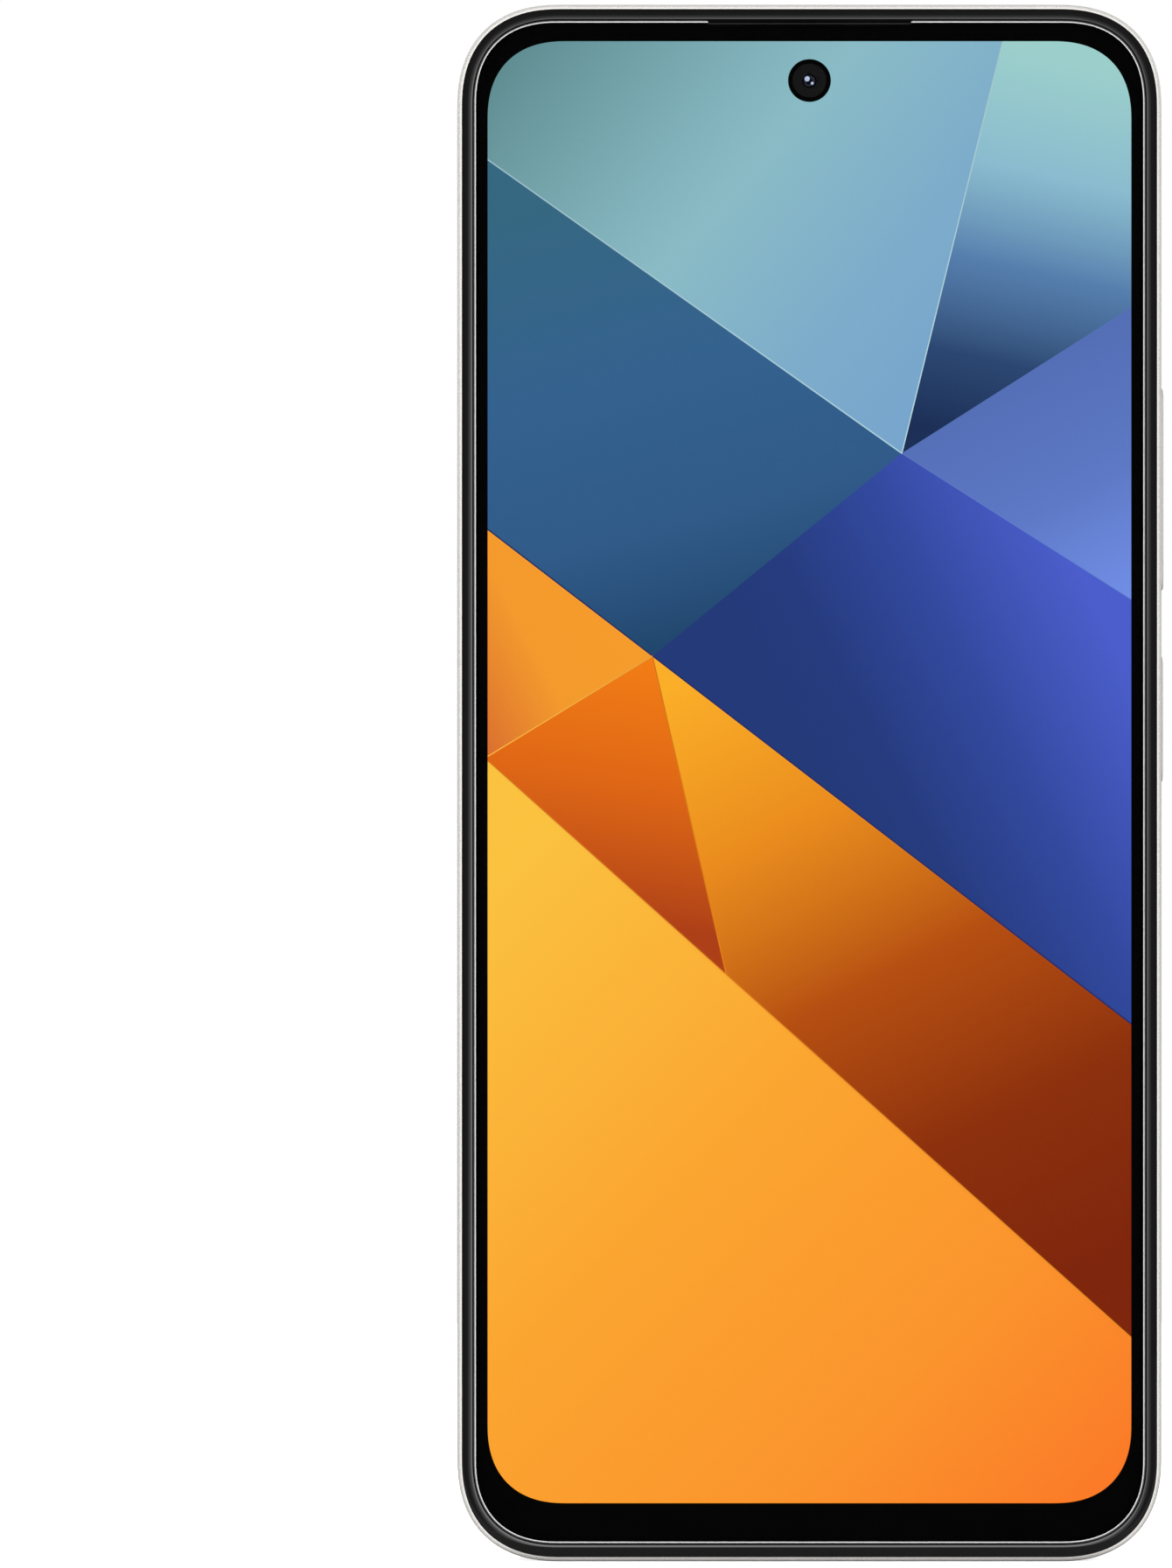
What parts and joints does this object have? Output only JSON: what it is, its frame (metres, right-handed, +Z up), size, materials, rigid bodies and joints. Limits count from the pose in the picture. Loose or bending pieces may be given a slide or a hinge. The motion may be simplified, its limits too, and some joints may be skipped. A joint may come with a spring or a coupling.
{
  "type": "smartphone",
  "caption": "Slab smartphone with a glass front, side keys, card tray, headphone and charging sockets, and rear cameras in raised round rings.",
  "frame": {"origin": "middle of the bottom edge, on the surface that the phone stands on, halfway through the body's thickness", "axes": "+Z up along the phone's height, -Y out of the screen, +Y out of the back, +X to the side with the keys"},
  "size_m": [0.0767, 0.0095, 0.1686],
  "materials": {
    "frame_silver": "silver lacquer with a fine metallic grain, satin",
    "key_silver": "bead-blasted, satin",
    "bezel_black": "polished black",
    "screen_glass": "clear, polished, bonded over the display",
    "display": "lit display with an abstract pattern of facets",
    "diffuser": "white optical film",
    "tray_white": "white moulded tray",
    "flex_amber": "amber polyimide film",
    "plate_alloy": "die-cast, bead-blasted",
    "mesh_dark": "fine woven mesh, black",
    "case_black": "black moulded, fine texture",
    "cone_film": "thin moulded film",
    "camera_black": "black anodised look",
    "lens_glass": "coated optical glass",
    "back_silver": "warm silver with a fine sparkle under gloss",
    "adhesive": "black foam tape",
    "ring_silver": "turned and polished",
    "lens_window": "black-backed cover glass",
    "led": "yellow phosphor on white ceramic",
    "board_green": "solder mask on glass-fibre board",
    "can_steel": "thin stamped nickel silver",
    "chip_black": "moulded package",
    "screw_steel": "plated, fine turned",
    "battery_black": "laminated pouch in black film",
    "cable_black": "thin coaxial cable",
    "driver_steel": "pressed steel and magnet",
    "rotor_brass": "sintered heavy metal",
    "sensor_dark": "coated sensor face, satin"
  },
  "bodies": {
    "phone": {"side_frame": "frame_silver", "front_bezel": "bezel_black", "cover_glass": "screen_glass", "display_panel": "display", "diffuser_stack": "diffuser", "backlight_tray": "tray_white", "display_flex": "flex_amber", "mid_plate": "plate_alloy", "earpiece_mesh": "mesh_dark", "receiver_case": "case_black", "front_camera": "camera_black", "front_lens": "lens_glass", "back_cover": "back_silver", "back_adhesive": "adhesive", "upper_ring": "ring_silver", "upper_glass": "lens_window", "lower_ring": "ring_silver", "lower_glass": "lens_window", "flash_ring": "ring_silver", "flash_glass": "lens_window", "flash_diffuser": "diffuser", "flash_leds": "led", "flash_board": "board_green", "main_camera": "camera_black", "second_camera": "camera_black", "second_lens": "lens_glass", "mainboard": "board_green", "shield_cans": "can_steel", "chips": "chip_black", "board_connectors": "case_black", "mainboard_cover": "case_black", "board_screws": "screw_steel", "tray_base": "case_black", "tray_cage": "can_steel", "battery": "battery_black", "battery_flex": "flex_amber", "main_flex": "flex_amber", "antenna_cable": "cable_black", "sub_board": "board_green", "sub_board_cover": "case_black", "usb_shell": "can_steel", "usb_tongue": "case_black", "speaker_box": "case_black", "speaker_driver": "driver_steel", "speaker_mesh": "mesh_dark", "headphone_jack": "case_black", "motor_case": "can_steel", "key_flex": "flex_amber", "ir_window": "case_black"},
    "volume_rocker": {"volume_key": "key_silver"},
    "power_button": {"power_key": "key_silver", "fingerprint_sensor": "sensor_dark"},
    "card_tray": {"tray": "frame_silver"},
    "eject_push_rod": {"eject_rod": "screw_steel"},
    "eject_lever_arm": {"eject_lever": "screw_steel"},
    "haptic_mass": {"motor_rotor": "rotor_brass"},
    "focus_barrel": {"main_barrel": "camera_black", "main_lens": "lens_glass"},
    "speaker_cone": {"speaker_diaphragm": "cone_film"},
    "receiver_cone": {"receiver_diaphragm": "cone_film"}
  },
  "joints": [
    {"name": "volume_rock", "type": "hinge", "parent": "phone", "child": "volume_rocker", "pos_m": [0.0365, 0.0002, 0.1162], "axis": [0, 1, 0], "range_deg": [-0.8, 0.8], "stiffness_Nm_per_rad": 0.3},
    {"name": "power_press", "type": "slide", "parent": "phone", "child": "power_button", "axis": [-1, 0, 0], "range_m": [0, 0.00022], "stiffness_N_per_m": 2500},
    {"name": "tray_slide", "type": "slide", "parent": "phone", "child": "card_tray", "axis": [-1, 0, 0], "range_m": [0, 0.03]},
    {"name": "eject_push", "type": "slide", "parent": "phone", "child": "eject_push_rod", "axis": [1, 0, 0], "range_m": [0, 0.0012]},
    {"name": "eject_swing", "type": "hinge", "parent": "phone", "child": "eject_lever_arm", "pos_m": [-0.0062, 0.001, 0.134], "axis": [0, -1, 0], "range_deg": [0, 14.5]},
    {"name": "haptic_spin", "type": "hinge", "parent": "phone", "child": "haptic_mass", "pos_m": [-0.027, 0, 0.014], "axis": [0, 1, 0], "continuous": true},
    {"name": "lens_focus", "type": "slide", "parent": "phone", "child": "focus_barrel", "axis": [0, 1, 0], "range_m": [0, 0.0003], "stiffness_N_per_m": 60},
    {"name": "speaker_move", "type": "slide", "parent": "phone", "child": "speaker_cone", "axis": [0, 1, 0], "range_m": [-0.0002, 0.0002], "stiffness_N_per_m": 400},
    {"name": "receiver_move", "type": "slide", "parent": "phone", "child": "receiver_cone", "axis": [0, 1, 0], "range_m": [-0.0001, 0.0001], "stiffness_N_per_m": 300}
  ],
  "couplings": [
    {"joint": "eject_swing", "follows": "eject_push", "rad_per_m": 210.8}
  ]
}
